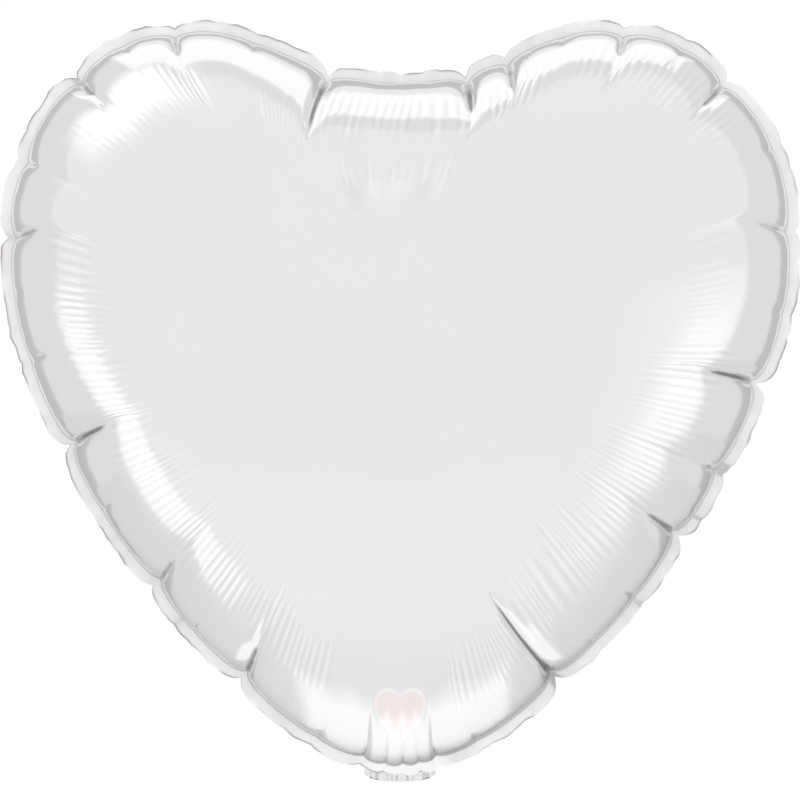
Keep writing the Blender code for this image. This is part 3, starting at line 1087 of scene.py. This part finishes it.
class BALLOON_OT_stage(bpy.types.Operator):
    """Sets the floor, the studio light and the camera"""

    bl_idname = "balloon.stage"
    bl_label = "Stage"

    FLOOR_Z = -0.55
    FLOOR_HALF = 1.5
    CAMERA_DISTANCE = 2.0
    SENSOR = 36
    TENT, TENT_GLOW = (0.985, 0.975, 0.955, 1), (1.12, 1.11, 1.09, 1)
    WALL, BACK_WALL = (0.815, 0.815, 0.82, 1), (0.50, 0.50, 0.51, 1)
    SOFTBOXES = (
        # name, degrees round from straight in front, degrees up from the right, distance, length, breadth,
        # radiance, share of each half that fades to the edge
        ("right_box", 68, -19, 0.8, 0.74, 0.42, 0.21, 0.75),
        ("left_box", 74, 204, 0.8, 0.78, 0.22, 0.34, 0.25),
        ("upper_left_box", 76, 125, 1.3, 1.30, 0.72, 0.60, 0.70),
        ("top_box", 111, 90, 1.3, 1.60, 1.15, 0.45, 0.12),
        ("low_box", 96, -88, 0.5, 0.54, 0.40, 0.42, 0.25),
    )

    def execute(self, context):
        """Pale floor, soft boxes aimed at the middle of the balloon, a pale room and the camera."""
        self.floor()
        middle = np.array([0, 0, (CAD_BOX[0][2] + CAD_BOX[1][2]) / 2])
        for box in self.SOFTBOXES:
            self.softbox(middle, *box)
        self.room(context)
        self.camera(context)
        context.scene.view_settings.view_transform = "Standard"
        return {"FINISHED"}

    def floor(self):
        """A level square of pale paint with a faint mottle, which also glows, brighter at the front than at
        the back: painted light.
        """
        n = Nodes("floor_paint_and_glow")
        place = n.add("ShaderNodeTexCoord", output="Object")
        mottle = n.add("ShaderNodeTexNoise", {}, {"Vector": place, "Scale": 3.0})
        # near marks the front of the floor, which glows brighter than the back: painted light.
        near = 1 - n.ramp(n.parts(place)[1], -0.45, 0.05)
        n.set(
            Base_Color=n.mix(mottle, (0.80, 0.80, 0.80, 1), (0.83, 0.83, 0.83, 1)),
            Roughness=0.7,
            Emission_Color=n.mix(near, (0.04, 0.04, 0.04, 1), (0.285, 0.277, 0.262, 1)),
            Emission_Strength=1.0,
        )
        side = np.linspace(-self.FLOOR_HALF, self.FLOOR_HALF, 9)
        x, y = np.meshgrid(side, side)
        points = np.stack([x, y, np.full_like(x, self.FLOOR_Z)], -1).reshape(-1, 3)
        mesh_object("floor", points, strip_faces(9, 9, False), n.material)

    def softbox(
        self, middle, name, round_from_front, up_from_right, distance, length, breadth, radiance, fade
    ):
        """An area light facing the balloon, its length across the line of sight, fading to its edges."""
        away, up = math.radians(round_from_front), math.radians(up_from_right)
        back = Vector((math.sin(away) * math.cos(up), -math.cos(away), math.sin(away) * math.sin(up)))
        long = back.cross(Vector((0, 1, 0))).normalized()
        light = bpy.data.lights.new(name, "AREA")
        light.shape = "RECTANGLE"
        light.size = length
        light.size_y = breadth
        light.energy = radiance * math.pi * length * breadth
        n = Nodes(name, light)
        along, beside, _ = n.parts(n.add("ShaderNodeNewGeometry", output="Parametric"))
        cloth = 1 - n.ramp((2 * along - 1).math("ABSOLUTE"), 1 - fade, 1.0)
        cloth = cloth * (1 - n.ramp((2 * beside - 1).math("ABSOLUTE"), 1 - fade, 1.0))
        n.put(n.tree.nodes["Emission"].inputs["Strength"], cloth)
        lamp = bpy.data.objects.new(name, light)
        bpy.context.collection.objects.link(lamp)
        lamp.location = Vector(middle) + distance * back
        lamp.rotation_euler = Matrix((long, back.cross(long), back)).transposed().to_euler()
        lamp.visible_camera = False

    def room(self, context):
        """White where the camera looks past the balloon. For the rest a pale tent in front and grey walls.

        The tent ends crisply 80 degrees round from straight in front. The walls darken to the back.
        """
        world = bpy.data.worlds.new("room")
        context.scene.world = world
        n = Nodes("room", world)
        place = n.add("ShaderNodeTexCoord", output="Generated")
        x, y, z = n.parts(place)
        tent = 1 - n.ramp(y, -0.20, -0.14)
        back = n.ramp(y, 0.50, 0.64)
        walls = n.mix(back, self.WALL, self.BACK_WALL)
        glow = n.ramp(x, 0.55, 1.0) * (1 - n.ramp(z, 0.02, 0.10))
        cloth = n.mix(glow, self.TENT, self.TENT_GLOW)
        colour = n.mix(tent, walls, cloth)
        around_us = n.add("ShaderNodeBackground", {}, {"Color": colour})
        beyond = n.add("ShaderNodeBackground", {}, {"Color": (1, 1, 1, 1)})
        seen = n.add("ShaderNodeLightPath", output="Is Camera Ray")
        either = n.add("ShaderNodeMixShader", {}, (seen, around_us, beyond))
        n.put(n.tree.nodes["World Output"].inputs["Surface"], either)

    def camera(self, context):
        """Level with the middle of the balloon, straight in front, with a long lens."""
        low, high = CAD_BOX
        data = bpy.data.cameras.new("camera")
        camera = bpy.data.objects.new("camera", data)
        context.collection.objects.link(camera)
        data.sensor_width = self.SENSOR
        data.lens = self.SENSOR * self.CAMERA_DISTANCE / (1.0016 * (high[0] - low[0]))
        camera.location = ((low[0] + high[0]) / 2, -self.CAMERA_DISTANCE, (low[2] + high[2]) / 2)
        camera.rotation_euler = (math.pi / 2, 0, 0)
        context.scene.camera = camera


class BALLOON_PT_sidebar(bpy.types.Panel):
    """Lists the steps that build the balloon"""

    bl_label = "Foil heart balloon"
    bl_space_type = "VIEW_3D"
    bl_region_type = "UI"
    bl_category = "Balloon"

    def draw(self, context):
        """One button for each step, and the sizes and colours under them."""
        for step in STEPS:
            self.layout.operator(step)
        for group in GROUPS.values():
            values = getattr(context.scene, group)
            for name in values.bl_rna.properties.keys():
                if name not in ("rna_type", "name"):
                    self.layout.prop(values, name)


STEPS = ("balloon.panels", "balloon.tail", "balloon.valve", "balloon.stage")
GROUPS = {HeartShape: "balloon_shape", GatherSizes: "balloon_gathers", FoilFinish: "balloon_finish"}
CLASSES = (
    *GROUPS,
    BALLOON_OT_panels,
    BALLOON_OT_tail,
    BALLOON_OT_valve,
    BALLOON_OT_stage,
    BALLOON_PT_sidebar,
)


def register():
    """Registers the classes and hangs the settings on the scene."""
    for kind in CLASSES:
        bpy.utils.register_class(kind)
    for kind, name in GROUPS.items():
        setattr(bpy.types.Scene, name, PointerProperty(type=kind))


def unregister():
    """Takes the settings and the classes away again."""
    for name in GROUPS.values():
        delattr(bpy.types.Scene, name)
    for kind in reversed(CLASSES):
        bpy.utils.unregister_class(kind)


def main():
    """Builds every piece in order."""
    register()
    bpy.ops.balloon.panels()
    bpy.ops.balloon.tail()
    bpy.ops.balloon.valve()
    bpy.ops.balloon.stage()


if __name__ == "__main__":
    main()
